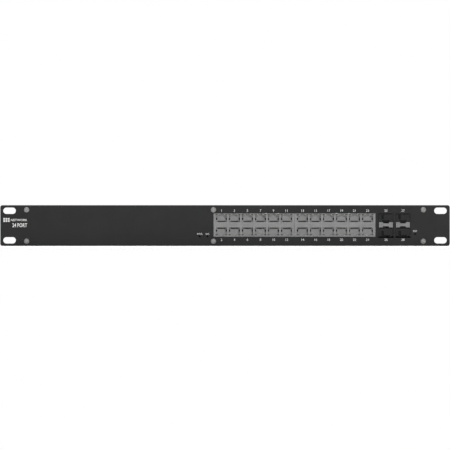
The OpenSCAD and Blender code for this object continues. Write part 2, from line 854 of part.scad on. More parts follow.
module inlet_screws() {
    color("#2a2a2c") for (s = [-1, 1]) rear_screw(inlet_x + s * inlet_pitch / 2, inlet_face, inlet_z, 8);
}

// Stud with a thread relief between the stretch under the nut and the free end
module ground_stud() {
    color("#c7b068") translate([ground_x, body_d, ground_z]) rotate([-90, 0, 0]) {
        translate([0, 0, -stud_head]) cylinder(r = 4, h = stud_head - base_t);
        translate([0, 0, -base_t - 0.1]) cylinder(r = stud_r - 0.1, h = base_t + 0.1 + stud_nut_len);
        translate([0, 0, stud_nut_len - 0.1]) cylinder(r = stud_r - 0.4, h = 0.8);
        translate([0, 0, stud_nut_len + 0.6]) cylinder(r = stud_r, h = stud_free_len);
    }
}

module ground_nut() {
    washer_h = 0.8;
    nut_h = 3.2;
    nut_r = 7 / sqrt(3); // 7 mm across flats
    color("silver") translate([ground_x, body_d, ground_z]) rotate([-90, 0, 0]) difference() {
        union() {
            cylinder(r = 4.5, h = washer_h);
            translate([0, 0, washer_h]) cylinder(r = nut_r, h = nut_h, $fn = 6);
        }
        translate([0, 0, -1]) cylinder(r = stud_r - 0.05, h = 6);
    }
}

// ---------- Fans ----------

module fan_frame(x) {
    y0 = tail_y - fan_d;
    strut_w = 2.4;
    color("#1b1b1d") translate([x, y0, 0]) rotate([-90, 0, 0]) {
        difference() {
            linear_extrude(fan_d) difference() {
                round_rect(fan_size, fan_size, 2.5);
                for (sx = [-1, 1], sz = [-1, 1])
                    translate([sx * fan_hole / 2, sz * fan_hole / 2]) circle(screw_r + gap);
            }
            translate([0, 0, -1]) cylinder(r = fan_r, h = fan_d + 2);
        }
        for (a = [0 : 90 : 270]) rotate(a + 20)
            translate([8, -strut_w / 2, fan_d - 3]) cube([fan_r - 7.8, strut_w, 3]);
        difference() {
            translate([0, 0, fan_d - 4]) cylinder(r = 9.5, h = 4);
            translate([0, 0, fan_d - 5]) cylinder(r = 1.04, h = 6);
        }
    }
}

// The shaft runs in the frame's bush with running clearance
module fan_impeller(x) {
    y0 = tail_y - fan_d;
    hub_r = 10;
    hub_h = fan_d - 5.5;
    color("#2c2c2f") translate([x, y0 + 1, 0]) rotate([-90, 0, 0]) {
        cylinder(r = hub_r, h = hub_h);
        cylinder(r = 1, h = fan_d - 1.6);
        for (i = [0 : fan_blades - 1]) rotate(i * 360 / fan_blades) intersection() {
            translate([hub_r - 1, 0, hub_h / 2]) rotate([38, 0, 0])
                translate([0, -0.6, -12]) cube([10, 1.2, 24]);
            difference() {
                translate([0, 0, 1]) cylinder(r = fan_r - 0.6, h = hub_h - 2);
                translate([0, 0, -1]) cylinder(r = hub_r - 0.5, h = hub_h + 2);
            }
        }
    }
}

module fan_screws() {
    color("#2a2a2c") for (x = fan_xs, sx = [-1, 1], sz = [-1, 1])
        rear_screw(x + sx * fan_hole / 2, body_d, sz * fan_hole / 2, 9);
}

// ---------- Nodes ----------

front_panel();
chassis_base();
top_cover();
front_panel_screws();
cover_side_screws();
cover_rear_screws();
main_board();
psu_board();
board_posts();
board_screws();
port_shield(left_block_x);  // port_shield_left
port_shield(right_block_x);  // port_shield_right
port_housing(left_block_x);  // port_housing_left
port_housing(right_block_x);  // port_housing_right
port_contacts(left_block_x);  // port_contacts_left
port_contacts(right_block_x);  // port_contacts_right
color("#6b6a2a") light_pipes(-1);  // amber_light_pipes
color("#3a5a3a") light_pipes(1);  // green_light_pipes
sfp_cage(sfp_xs[0]);  // sfp_cage_left
sfp_cage(sfp_xs[1]);  // sfp_cage_right
sfp_gaskets();
sfp_dividers();
sfp_connectors();
dust_plug(sfp_xs[0], 1);  // dust_plug_25
dust_plug(sfp_xs[0], 0);  // dust_plug_26
dust_plug(sfp_xs[1], 1);  // dust_plug_27
dust_plug(sfp_xs[1], 0);  // dust_plug_28
status_leds();
reset_switch();
reset_plunger();
switch_chip();
switch_heatsink();
phy_chips();
phy_heatsinks();
memory_chips();
power_inductors();
board_capacitors();
board_connectors();
psu_transformer_core();
psu_transformer_coil();
psu_bulk_capacitors();
psu_heatsinks();
psu_choke();
psu_filter_capacitors();
psu_fuse();
psu_connectors();
psu_insulator();
dc_cable();
mains_cable();
fan_cables();
ac_inlet();
inlet_pins();
inlet_screws();
ground_stud();
ground_nut();
fan_frame(fan_xs[0]);  // fan_left_frame
fan_impeller(fan_xs[0]);  // fan_left_impeller
fan_frame(fan_xs[1]);  // fan_right_frame
fan_impeller(fan_xs[1]);  // fan_right_impeller
fan_screws();
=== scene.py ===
"""Looks of a one-unit rackmount network switch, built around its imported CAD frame.

Metres, in the CAD frame: +X right as seen from the front, +Y to the rear, +Z up, and y = 0 in the
rear face of the front panel.
"""
import json
import math
import random

import bmesh
import bpy
from mathutils import Matrix, Vector


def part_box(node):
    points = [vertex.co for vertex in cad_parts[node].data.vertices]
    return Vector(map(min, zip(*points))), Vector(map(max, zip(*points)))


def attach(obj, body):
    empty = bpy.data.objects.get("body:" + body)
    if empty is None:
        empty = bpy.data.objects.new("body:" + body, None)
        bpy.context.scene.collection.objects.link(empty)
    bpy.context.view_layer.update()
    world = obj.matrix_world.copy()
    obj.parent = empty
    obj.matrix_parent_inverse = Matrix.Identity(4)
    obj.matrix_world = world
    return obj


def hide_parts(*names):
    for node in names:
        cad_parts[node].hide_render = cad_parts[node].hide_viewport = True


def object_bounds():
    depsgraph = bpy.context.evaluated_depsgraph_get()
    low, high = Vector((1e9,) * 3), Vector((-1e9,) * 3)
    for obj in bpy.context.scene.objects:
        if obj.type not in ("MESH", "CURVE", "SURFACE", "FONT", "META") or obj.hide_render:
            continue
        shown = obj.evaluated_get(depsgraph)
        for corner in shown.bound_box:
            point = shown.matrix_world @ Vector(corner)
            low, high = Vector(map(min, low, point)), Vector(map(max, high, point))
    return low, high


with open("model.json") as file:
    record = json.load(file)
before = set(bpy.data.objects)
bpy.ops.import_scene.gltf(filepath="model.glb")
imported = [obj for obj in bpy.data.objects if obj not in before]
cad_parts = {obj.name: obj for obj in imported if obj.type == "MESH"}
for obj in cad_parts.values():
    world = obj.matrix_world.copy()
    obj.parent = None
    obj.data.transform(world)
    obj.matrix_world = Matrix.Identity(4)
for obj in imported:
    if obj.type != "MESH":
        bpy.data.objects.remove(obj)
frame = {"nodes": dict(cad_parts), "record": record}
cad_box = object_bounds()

MM = 0.001
NODES = frame["nodes"]
SLOT_OF = {s["node"]: s["material_slot"] for s in frame["record"]["subparts"]}


# ---------- Node helpers ----------

class Shader:
    """A material's node tree with a Principled shader, and short calls that add detail to it."""

    def __init__(self, name, colour, rough=0.5, metal=0.0, specular=0.5):
        self.mat = bpy.data.materials.new(name)
        self.mat.use_nodes = True
        self.tree = self.mat.node_tree
        self.bsdf = self.tree.nodes["Principled BSDF"]
        self.colour = self.value_rgb(colour)
        self.rough = self.value(rough)
        self.bsdf.inputs["Metallic"].default_value = metal
        self.bsdf.inputs["Specular IOR Level"].default_value = specular
        self.normal = None

    def node(self, kind, **inputs):
        """A new node with inputs linked or set; an underscore stands for a space in a socket's name."""
        made = self.tree.nodes.new(kind)
        for key, item in inputs.items():
            self.feed(made.inputs[key.replace("_", " ")], item)
        return made

    def feed(self, socket, item):
        """Links a socket to another one, or sets its value."""
        if isinstance(item, bpy.types.NodeSocket):
            self.tree.links.new(item, socket)
        else:
            socket.default_value = item

    def value(self, number):
        made = self.tree.nodes.new("ShaderNodeValue")
        made.outputs[0].default_value = number
        return made.outputs[0]

    def value_rgb(self, colour):
        made = self.tree.nodes.new("ShaderNodeRGB")
        made.outputs[0].default_value = (*colour, 1.0)
        return made.outputs[0]

    def place(self, stretch=(1, 1, 1)):
        """Object coordinates, which are the CAD frame in metres, stretched along each axis."""
        coords = self.tree.nodes.new("ShaderNodeTexCoord")
        mapped = self.tree.nodes.new("ShaderNodeMapping")
        self.tree.links.new(coords.outputs["Object"], mapped.inputs["Vector"])
        mapped.inputs["Scale"].default_value = stretch
        return mapped.outputs["Vector"]

    def noise(self, per_metre, detail=3.0, stretch=(1, 1, 1)):
        """Cloudy 0 to 1 pattern."""
        made = self.node("ShaderNodeTexNoise", Vector=self.place(stretch), Scale=per_metre, Detail=detail)
        return made.outputs["Fac"]

    def cells(self, per_metre, stretch=(1, 1, 1)):
        """Distance from the middle of scattered cells."""
        made = self.node("ShaderNodeTexVoronoi", Vector=self.place(stretch), Scale=per_metre)
        return made.outputs["Distance"]

    def math(self, operation, a, b=0.0):
        made = self.tree.nodes.new("ShaderNodeMath")
        made.operation = operation
        self.feed(made.inputs[0], a)
        self.feed(made.inputs[1], b)
        return made.outputs[0]

    def spread(self, factor, low, high, to_low=0.0, to_high=1.0):
        """Maps low to high onto another range, 0 to 1 if none is given, and clamps it."""
        made = self.tree.nodes.new("ShaderNodeMapRange")
        for slot, item in zip((0, 1, 2, 3, 4), (factor, low, high, to_low, to_high)):
            self.feed(made.inputs[slot], item)
        return made.outputs[0]

    def mix(self, factor, a, b):
        made = self.tree.nodes.new("ShaderNodeMix")
        made.data_type = "RGBA"
        self.feed(made.inputs[0], factor)
        self.feed(made.inputs[6], a if isinstance(a, bpy.types.NodeSocket) else (*a, 1.0))
        self.feed(made.inputs[7], b if isinstance(b, bpy.types.NodeSocket) else (*b, 1.0))
        return made.outputs[2]

    def axis(self, name):
        """One coordinate of the point being shaded, in metres."""
        made = self.node("ShaderNodeSeparateXYZ", Vector=self.place())
        return made.outputs[name]

    def tint(self, factor, colour):
        """Moves the colour towards another where factor is high."""
        self.colour = self.mix(factor, self.colour, colour)

    def roughen(self, factor, amount):
        """Adds up to amount of roughness, both ways, from a 0 to 1 factor."""
        change = self.math("MULTIPLY", self.math("SUBTRACT", factor, 0.5), 2 * amount)
        self.rough = self.math("ADD", self.rough, change)

    def soften(self, radius):
        """Rounds every edge's shading over radius metres; it comes before any bump."""
        made = self.tree.nodes.new("ShaderNodeBevel")
        made.samples = 6
        made.inputs["Radius"].default_value = radius
        self.normal = made.outputs[0]

    def bump(self, height, depth, strength=1.0):
        """Raises the surface by depth metres where height is 1."""
        made = self.node("ShaderNodeBump", Strength=strength, Distance=depth, Height=height)
        if self.normal is not None:
            self.tree.links.new(self.normal, made.inputs["Normal"])
        self.normal = made.outputs["Normal"]

    def edges(self, radius):
        """1 on edges sharper than radius metres, 0 on flats."""
        made = self.tree.nodes.new("ShaderNodeBevel")
        made.samples = 4
        made.inputs["Radius"].default_value = radius
        flat = self.tree.nodes.new("ShaderNodeNewGeometry")
        dot = self.tree.nodes.new("ShaderNodeVectorMath")
        dot.operation = "DOT_PRODUCT"
        self.tree.links.new(made.outputs[0], dot.inputs[0])
        self.tree.links.new(flat.outputs["Normal"], dot.inputs[1])
        return self.spread(dot.outputs["Value"], 0.97, 0.75)

    def done(self, **inputs):
        """Connects what has been built up and returns the material."""
        self.feed(self.bsdf.inputs["Base Color"], self.colour)
        self.feed(self.bsdf.inputs["Roughness"], self.rough)
        if self.normal is not None:
            self.tree.links.new(self.normal, self.bsdf.inputs["Normal"])
        for key, item in inputs.items():
            self.feed(self.bsdf.inputs[key.replace("_", " ")], item)
        return self.mat


# ---------- Materials ----------

def powder_coat(name, colour, rough=0.6, specular=0.3):
    """Fine-textured powder coat: orange peel, a fine grit and painted highlights along the edges."""
    s = Shader(name, colour, rough, 0.0, specular)
    s.soften(0.3 * MM)
    s.tint(s.spread(s.noise(22, 5), 0.4, 0.75, 0.0, 0.3), [c * 1.18 for c in colour])
    # Painted highlight: edges are lightened towards 2.4 times the paint colour, standing in for the light
    # they catch.
    s.tint(s.math("MULTIPLY", s.edges(0.35 * MM), 0.5), [c * 2.4 for c in colour])
    s.roughen(s.noise(60, 3), 0.05)
    s.roughen(s.spread(s.noise(11, 6), 0.35, 0.65), 0.03)
    s.bump(s.noise(1500, 2), 0.018 * MM)
    s.bump(s.cells(3800), 0.010 * MM)
    return s.done()


def plated_steel(name, colour, rough=0.35, along=(1, 1, 1), grain=900, metal=1.0):
    """Plated sheet or turned steel with a rolled grain, cloudy patches and fine pitting."""
    s = Shader(name, colour, rough, metal)
    s.tint(s.spread(s.noise(140, 4), 0.4, 0.75, 0.0, 0.6), [c * 0.82 for c in colour])
    s.roughen(s.noise(grain, 3, along), 0.08)
    s.bump(s.noise(grain, 2, along), 0.004 * MM)
    s.bump(s.noise(5200, 1), 0.002 * MM)
    return s.done()


def moulded(name, colour, rough=0.5, specular=0.45, spark=0.012, flow=0.25):
    """Moulded plastic: spark-eroded texture and faint flow marks."""
    s = Shader(name, colour, rough, 0.0, specular)
    s.tint(s.spread(s.noise(70, 5, (1, 3, 1)), 0.3, 0.75, 0.0, flow), [min(1, c * 1.5) for c in colour])
    s.roughen(s.noise(500, 3), 0.07)
    s.bump(s.noise(4200, 2), spark * MM)
    return s.done()


def plug_plastic(name):
    """Charcoal dust-plug plastic, with painted shade on the floors of the finger slot and the notch."""
    s = Shader(name, (0.0115, 0.0115, 0.012), 0.62, 0.0, 0.25)
    s.tint(s.spread(s.noise(70, 5), 0.3, 0.75, 0.0, 0.2), (0.018, 0.018, 0.019))
    geometry = s.tree.nodes.new("ShaderNodeNewGeometry")
    facing = s.node("ShaderNodeSeparateXYZ", Vector=geometry.outputs["True Normal"]).outputs["Y"]
    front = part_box("dust_plug_25")[0].y
    # Painted shade: front-facing floors more than 1 mm behind the plug's face go near black.
    painted_shade_depth = s.spread(s.axis("Y"), front + 1.0 * MM, front + 1.5 * MM)
    s.tint(s.math("MULTIPLY", painted_shade_depth, s.spread(facing, -0.5, -0.9)), (0.0012, 0.0012, 0.0012))
    s.roughen(s.noise(500, 3), 0.07)
    s.bump(s.noise(4200, 2), 0.012 * MM)
    return s.done()


def gasket_foam(name):
    """Conductive foam: open cells with a dull, dark skin."""
    s = Shader(name, (0.0015, 0.0015, 0.0015), 0.9, 0.0, 0.02)
    s.tint(s.spread(s.cells(1800), 0.1, 0.5), (0.004, 0.004, 0.004))
    s.roughen(s.noise(900, 2), 0.05)
    s.bump(s.cells(1800), 0.08 * MM)
    return s.done()


def port_nylon():
    """Grey nylon of the port blocks, with painted shade deep behind the cavities: dark grey in the trough
    between the rows, near black elsewhere.
    """
    s = Shader("port_nylon", (0.50, 0.50, 0.50), 0.55, 0.0, 0.35)
    s.tint(s.spread(s.noise(260, 4), 0.3, 0.75, 0.0, 0.25), (0.60, 0.60, 0.60))
    row_gap = middle(*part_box("amber_light_pipes")).z
    from_gap = s.math("ABSOLUTE", s.math("SUBTRACT", s.axis("Z"), row_gap))
    # Painted shade for the depths behind the cavities: dark grey near the trough between the rows, near
    # black further out, applied past the back wall below.
    deep = s.mix(s.spread(from_gap, 4.4 * MM, 4.8 * MM), (0.10, 0.10, 0.10), (0.004, 0.004, 0.004))
    back_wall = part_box("port_housing_left")[0].y + 14 * MM
    s.tint(s.spread(s.axis("Y"), back_wall + 0.2 * MM, back_wall + 1.2 * MM), deep)
    s.roughen(s.noise(700, 2), 0.08)
    s.bump(s.noise(3600, 2), 0.01 * MM)
    return s.done()


def laminate(name, colour, trace, rough=0.32):
    """Circuit laminate: copper traces under the mask as low ridges, glass weave and bare edges."""
    s = Shader(name, colour, rough, 0.0, 0.5)
    runs = s.node("ShaderNodeTexBrick", Vector=s.place(), Scale=620.0, Mortar_Size=0.16,
                  Brick_Width=14.0, Row_Height=0.9)
    patch = s.spread(s.noise(60, 1), 0.48, 0.52)
    lines = s.math("MULTIPLY", runs.outputs["Fac"], patch)
    s.tint(lines, trace)
    s.tint(s.spread(s.noise(2600, 2), 0.55, 0.8, 0.0, 0.3), [c * 0.7 for c in colour])
    s.roughen(s.noise(300, 3), 0.08)
    s.bump(lines, 0.03 * MM)
    s.bump(s.cells(1400), 0.006 * MM)
    return s.done(Coat_Weight=0.4, Coat_Roughness=0.15)


def phenolic_board(name):
    """Single-sided phenolic board seen from its bare side: pressed paper grain and cloudy resin."""
    s = Shader(name, (0.40, 0.26, 0.10), 0.45, 0.0, 0.45)
    s.tint(s.spread(s.noise(45, 5), 0.35, 0.7, 0.0, 0.45), (0.50, 0.35, 0.15))
    s.tint(s.spread(s.noise(900, 3, (1, 0.2, 1)), 0.55, 0.8, 0.0, 0.4), (0.28, 0.17, 0.06))
    s.roughen(s.noise(300, 3), 0.08)
    s.bump(s.noise(1200, 3, (1, 0.25, 1)), 0.02 * MM)
    return s.done(Coat_Weight=0.15, Coat_Roughness=0.3)


def extruded_aluminium(name, colour):
    """Anodised extrusion with long die lines and a matt tooth."""
    s = Shader(name, colour, 0.38, 1.0)
    s.tint(s.spread(s.noise(300, 3, (1, 0.05, 1)), 0.4, 0.7, 0.0, 0.5), [c * 0.75 for c in colour])
    s.roughen(s.noise(900, 3, (1, 0.05, 1)), 0.1)
    s.bump(s.noise(1700, 2, (1, 0.04, 1)), 0.012 * MM)
    s.bump(s.noise(6000, 1), 0.003 * MM)
    return s.done()


def contact_plate(name):
    """Gold flash over nickel, worn pale where plugs wipe it."""
    s = Shader(name, (0.34, 0.29, 0.18), 0.3, 0.9)
    s.tint(s.spread(s.noise(900, 3), 0.4, 0.8, 0.0, 0.6), (0.26, 0.25, 0.23))
    s.roughen(s.noise(2500, 2), 0.06)
    s.bump(s.noise(4000, 2), 0.002 * MM)
    return s.done()


def light_pipe(name, colour):
    """Tinted clear plastic with a frosted face and cloudy depth."""
    s = Shader(name, colour, 0.45, 0.0, 0.15)
    s.tint(s.spread(s.noise(900, 3), 0.35, 0.7, 0.0, 0.5), [c * 0.55 for c in colour])
    s.roughen(s.noise(2500, 2), 0.08)
    s.bump(s.noise(5000, 2), 0.004 * MM)
    return s.done()


def chip_epoxy(name):
    """Black filled epoxy of chip packages, which also serves for ferrite."""
    s = Shader(name, (0.016, 0.016, 0.018), 0.62, 0.0, 0.4)
    s.tint(s.spread(s.noise(3200, 2), 0.55, 0.8, 0.0, 0.5), (0.035, 0.035, 0.037))
    s.roughen(s.noise(900, 3), 0.06)
    s.bump(s.noise(5200, 3), 0.012 * MM)
    return s.done()


def winding(name, colour, pitch, stretch, rough=0.3):
    """Wound wire or tape: close ridges with a lacquer over them, and painted shade in the grooves between
    the ridges.
    """
    s = Shader(name, colour, rough, 0.0, 0.5)
    wave = s.node("ShaderNodeTexWave", Vector=s.place(stretch), Scale=pitch, Distortion=0.4)
    # Painted shade: the grooves between the ridges, where the wave is low, are darkened.
    s.tint(s.spread(wave.outputs["Fac"], 0.0, 0.35, 0.6, 0.0), [c * 0.35 for c in colour])
    s.tint(s.spread(s.noise(200, 3), 0.4, 0.75, 0.0, 0.3), [min(1, c * 1.3) for c in colour])
    s.roughen(s.noise(600, 3), 0.06)
    s.bump(wave.outputs["Fac"], 0.12 * MM)
    return s.done(Coat_Weight=0.3, Coat_Roughness=0.2)


def shrink_sleeve(name, colour, stripe):
    """Shrink sleeve with faint ripples and a paler polarity band."""
    s = Shader(name, colour, 0.3, 0.0, 0.5)
    s.tint(s.spread(s.noise(120, 3), 0.4, 0.75, 0.0, 0.4), stripe)
    s.roughen(s.noise(400, 3), 0.07)
    s.bump(s.noise(350, 2, (1, 1, 4)), 0.05 * MM)
    return s.done(Coat_Weight=0.3, Coat_Roughness=0.15)


def fuse_glass(name):
    """Slightly cloudy glass tube."""
    s = Shader(name, (0.86, 0.88, 0.86), 0.08, 0.0, 0.5)
    s.tint(s.spread(s.noise(500, 2), 0.5, 0.8, 0.0, 0.4), (0.6, 0.62, 0.6))
    s.roughen(s.noise(900, 2), 0.03)
    s.bump(s.noise(1200, 2), 0.003 * MM)
    return s.done(Transmission_Weight=0.6)


def polyester_film(name):
    """Insulating film with soft waves."""
    s = Shader(name, (0.50, 0.52, 0.55), 0.3, 0.0, 0.5)
    s.tint(s.spread(s.noise(40, 4), 0.4, 0.75, 0.0, 0.4), (0.62, 0.64, 0.66))
    s.roughen(s.noise(300, 3), 0.08)
    s.bump(s.noise(90, 3), 0.15 * MM)
    return s.done()


def cable_jacket(name, colour):
    """Soft vinyl insulation with a slight sheen."""
    s = Shader(name, colour, 0.42, 0.0, 0.5)
    s.tint(s.spread(s.noise(160, 3), 0.4, 0.75, 0.0, 0.4), [min(1, c * 1.4 + 0.004) for c in colour])
    s.roughen(s.noise(700, 3), 0.06)
    s.bump(s.noise(2600, 2), 0.01 * MM)
    return s.done()


def mains_jackets(name):
    """Brown live, blue neutral and striped green and yellow earth wires, told apart by where they run."""
    live, earth, neutral = [middle(*box).x for box in islands("inlet_pins")]
    s = Shader(name, (0.03, 0.22, 0.04), 0.42, 0.0, 0.5)
    stripe = s.node("ShaderNodeTexWave", Vector=s.place((1, 1, 1)), Scale=70.0, Distortion=1.0)
    s.tint(s.spread(stripe.outputs["Fac"], 0.55, 0.62), (0.70, 0.52, 0.03))
    low = s.math("LESS_THAN", s.axis("Z"), -1.5 * MM)
    s.tint(s.math("MULTIPLY", low, s.math("LESS_THAN", s.axis("X"), neutral + 1.5 * MM)), (0.02, 0.09, 0.36))
    s.tint(s.math("LESS_THAN", s.axis("X"), (live + earth) / 2), (0.11, 0.045, 0.018))
    s.roughen(s.noise(700, 3), 0.06)
    s.bump(s.noise(2600, 2), 0.01 * MM)
    return s.done()


def print_ink():
    """White screen-printed ink: slightly uneven cover with a dry, matt surface."""
    s = Shader("print_ink", (0.74, 0.74, 0.73), 0.7, 0.0, 0.3)
    s.tint(s.spread(s.noise(2200, 3), 0.55, 0.8, 0.0, 0.35), (0.55, 0.55, 0.54))
    s.roughen(s.noise(1500, 2), 0.08)
    s.bump(s.noise(5000, 2), 0.006 * MM)
    return s.done()


GRAIN_X, GRAIN_Y = (0.08, 1, 1), (1, 0.1, 1)
MATERIALS = {
    "panel_paint": lambda n: powder_coat(n, (0.0130, 0.0130, 0.0135), specular=0.25),
    "casing_paint": lambda n: powder_coat(n, (0.024, 0.024, 0.025)),
    "zinc_screw": lambda n: plated_steel(n, (0.30, 0.30, 0.295), 0.55, metal=0.6),
    "black_screw": lambda n: plated_steel(n, (0.045, 0.045, 0.048), 0.4, metal=0.8),
    "green_laminate": lambda n: laminate(n, (0.012, 0.10, 0.035), (0.03, 0.20, 0.08)),
    "tan_laminate": phenolic_board,
    "post_steel": lambda n: plated_steel(n, (0.55, 0.55, 0.53), 0.35),
    "tin_shield": lambda n: plated_steel(n, (0.228, 0.228, 0.228), 0.6, GRAIN_X, 700, metal=0.5),
    "port_plastic": lambda n: port_nylon(),
    "gold": contact_plate,
    "amber_light": lambda n: light_pipe(n, (0.030, 0.026, 0.003)),
    "green_light": lambda n: light_pipe(n, (0.020, 0.030, 0.010)),
    "cage_steel": lambda n: plated_steel(n, (0.185, 0.185, 0.188), 0.55, GRAIN_Y, 700, metal=0.5),
    "black_plastic": lambda n: moulded(n, (0.018, 0.018, 0.020)),
    # Painted shade: cage_shell is the same plated steel as cage_steel at well under half its colour, so the
    # cage's rim and walls read as shaded.
    "cage_shell": lambda n: plated_steel(n, (0.075, 0.075, 0.077), 0.55, GRAIN_Y, 700, metal=0.5),
    "gasket_foam": gasket_foam,
    "plug_rubber": plug_plastic,
    "led_plastic": lambda n: moulded(n, (0.0006, 0.0009, 0.0006), 0.5, 0.03, flow=0.1),
    "plunger_plastic": lambda n: moulded(n, (0.001, 0.001, 0.001), 0.6, 0.05, flow=0.1),
    "chip_epoxy": chip_epoxy,
    "sink_aluminium": lambda n: extruded_aluminium(n, (0.56, 0.57, 0.59)),
    "ferrite": chip_epoxy,
    "coil_tape": lambda n: winding(n, (0.62, 0.42, 0.06), 120, (0, 0, 1)),
    "capacitor_sleeve": lambda n: shrink_sleeve(n, (0.012, 0.02, 0.05), (0.05, 0.07, 0.13)),
    "choke_wire": lambda n: winding(n, (0.36, 0.13, 0.035), 260, (1, 0, 0.3)),
    "film_capacitor": lambda n: moulded(n, (0.62, 0.40, 0.04), 0.35, 0.5, 0.006),
    "fuse_glass": fuse_glass,
    "cream_nylon": lambda n: moulded(n, (0.72, 0.68, 0.56), 0.45, 0.5, 0.006),
    "insulator_film": polyester_film,
    "red_wire": lambda n: cable_jacket(n, (0.42, 0.02, 0.015)),
    "mains_wire": mains_jackets,
    "black_wire": lambda n: cable_jacket(n, (0.015, 0.015, 0.016)),
    "plated_brass": lambda n: plated_steel(n, (0.56, 0.48, 0.30), 0.3),
    "fan_plastic": lambda n: moulded(n, (0.026, 0.026, 0.028), 0.38),
}
_built = {}


def material(slot):
    """The slot's material, built once."""
    if slot not in _built:
        _built[slot] = MATERIALS[slot](slot)
    return _built[slot]


def dress_cad_nodes():
    """Gives every CAD node its slot's material and a small bevel that catches the light."""
    bevels = {"ac_inlet": 0.4, "front_panel_screws": 0.12, "cover_side_screws": 0.12,
              "cover_rear_screws": 0.12, "inlet_screws": 0.12, "fan_screws": 0.12,
              "ground_nut": 0.2, "ground_stud": 0.2,
              "port_shield_left": 0.07, "port_shield_right": 0.07, "sfp_dividers": 0.08,
              "dust_plug_25": 0.3, "dust_plug_26": 0.3, "dust_plug_27": 0.3, "dust_plug_28": 0.3,
              "fan_left_frame": 0.3, "fan_right_frame": 0.3, "switch_heatsink": 0.2,
              "phy_heatsinks": 0.15, "psu_heatsinks": 0.3, "psu_transformer_core": 0.5,
              "psu_filter_capacitors": 0.8, "psu_bulk_capacitors": 0.6, "board_capacitors": 0.4,
              "power_inductors": 0.6, "psu_connectors": 0.3, "board_connectors": 0.3,
              "inlet_pins": 0.4, "main_board": 0.1, "psu_board": 0.1}
    for name, obj in NODES.items():
        obj.data.materials.clear()
        obj.data.materials.append(material(SLOT_OF[name]))
        if name in bevels:
            weld = obj.modifiers.new("Weld", "WELD")
            weld.merge_threshold = 0.001 * MM
            bevel = obj.modifiers.new("Bevel", "BEVEL")
            bevel.width = bevels[name] * MM
            bevel.segments = 2
            bevel.limit_method = "ANGLE"
            bevel.angle_limit = math.radians(40)


# ---------- Pieces ----------

def finish_piece(obj, body, slot, mat=None):
    """Gives a piece its material, the slot's or the one given, and the body it rides on."""
    obj.data.materials.clear()
    obj.data.materials.append(mat or material(slot))
    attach(obj, body)
    return obj


def mesh_object(name, bm):
    """Turns a finished bmesh into an object with outward faces."""
    mesh = bpy.data.meshes.new(name)
    bmesh.ops.recalc_face_normals(bm, faces=bm.faces)
    bm.to_mesh(mesh)
    bm.free()
    obj = bpy.data.objects.new(name, mesh)
    bpy.context.scene.collection.objects.link(obj)
    return obj


def islands(name):
    """Boxes (low corner, high corner) of the separate solids in one CAD node, from left to right."""
    bm = bmesh.new()
    bm.from_mesh(NODES[name].data)
    bmesh.ops.remove_doubles(bm, verts=bm.verts, dist=0.001 * MM)
    unseen = set(bm.verts)
    found = []
    while unseen:
        stack = [unseen.pop()]
        points = []
        while stack:
            vert = stack.pop()
            points.append(vert.co.copy())
            for edge in vert.link_edges:
                other = edge.other_vert(vert)
                if other in unseen:
                    unseen.remove(other)
                    stack.append(other)
        lo = Vector([min(p[i] for p in points) for i in range(3)])
        hi = Vector([max(p[i] for p in points) for i in range(3)])
        found.append((lo, hi))
    bm.free()
    return sorted(found, key=lambda b: (round(b[0].x, 5), round(b[0].y, 5), round(b[0].z, 5)))


def middle(lo, hi):
    return (lo + hi) / 2


def loft(bm, rows):
    """Joins rows of vertices into a closed skin with a face over each end."""
    count = len(rows[0])
    for low, high in zip(rows, rows[1:]):
        for k in range(count):
            j = (k + 1) % count
            bm.faces.new((low[k], low[j], high[j], high[k]))
    bm.faces.new(rows[0][::-1])
    bm.faces.new(rows[-1])


def turned(bm, origin, axis, profile, steps=24, wobble=None):
    """Adds a closed turned shape: profile is (along, radius) pairs, and wobble may change a radius."""
    to = axis.to_track_quat("Z", "Y").to_matrix()
    rings = []
    for along, radius in profile:
        ring = []
        for i in range(steps):
            a = 2 * math.pi * i / steps
            r = radius if wobble is None else wobble(along, radius, a)
            ring.append(bm.verts.new(origin + to @ Vector((r * math.cos(a), r * math.sin(a), along))))
        rings.append(ring)
    loft(bm, rings)


def tube(bm, path, radius, sides=8):
    """Adds a closed round tube along a path of points."""
    up = Vector((0, 0, 1))
    rings = []
    for i, point in enumerate(path):
        ahead = path[min(i + 1, len(path) - 1)] - path[max(i - 1, 0)]
        ahead.normalize()
        side = ahead.cross(up)
        if side.length < 0.1:
            side = ahead.cross(Vector((1, 0, 0)))
        side.normalize()
        over = side.cross(ahead)
        up = over
        rings.append([bm.verts.new(point + radius * (math.cos(a) * side + math.sin(a) * over))
                      for a in (2 * math.pi * k / sides for k in range(sides))])
    loft(bm, rings)


def smooth(obj, angle=35):
    """Shades the curved surfaces smooth and keeps edges sharper than angle degrees."""
    mesh = obj.data
    for face in mesh.polygons:
        face.use_smooth = True
    bm = bmesh.new()
    bm.from_mesh(mesh)
    for edge in bm.edges:
        if len(edge.link_faces) == 2:
            edge.smooth = edge.calc_face_angle(0) < math.radians(angle)
    bm.to_mesh(mesh)
    bm.free()
    return obj


INK_T = 0.03 * MM


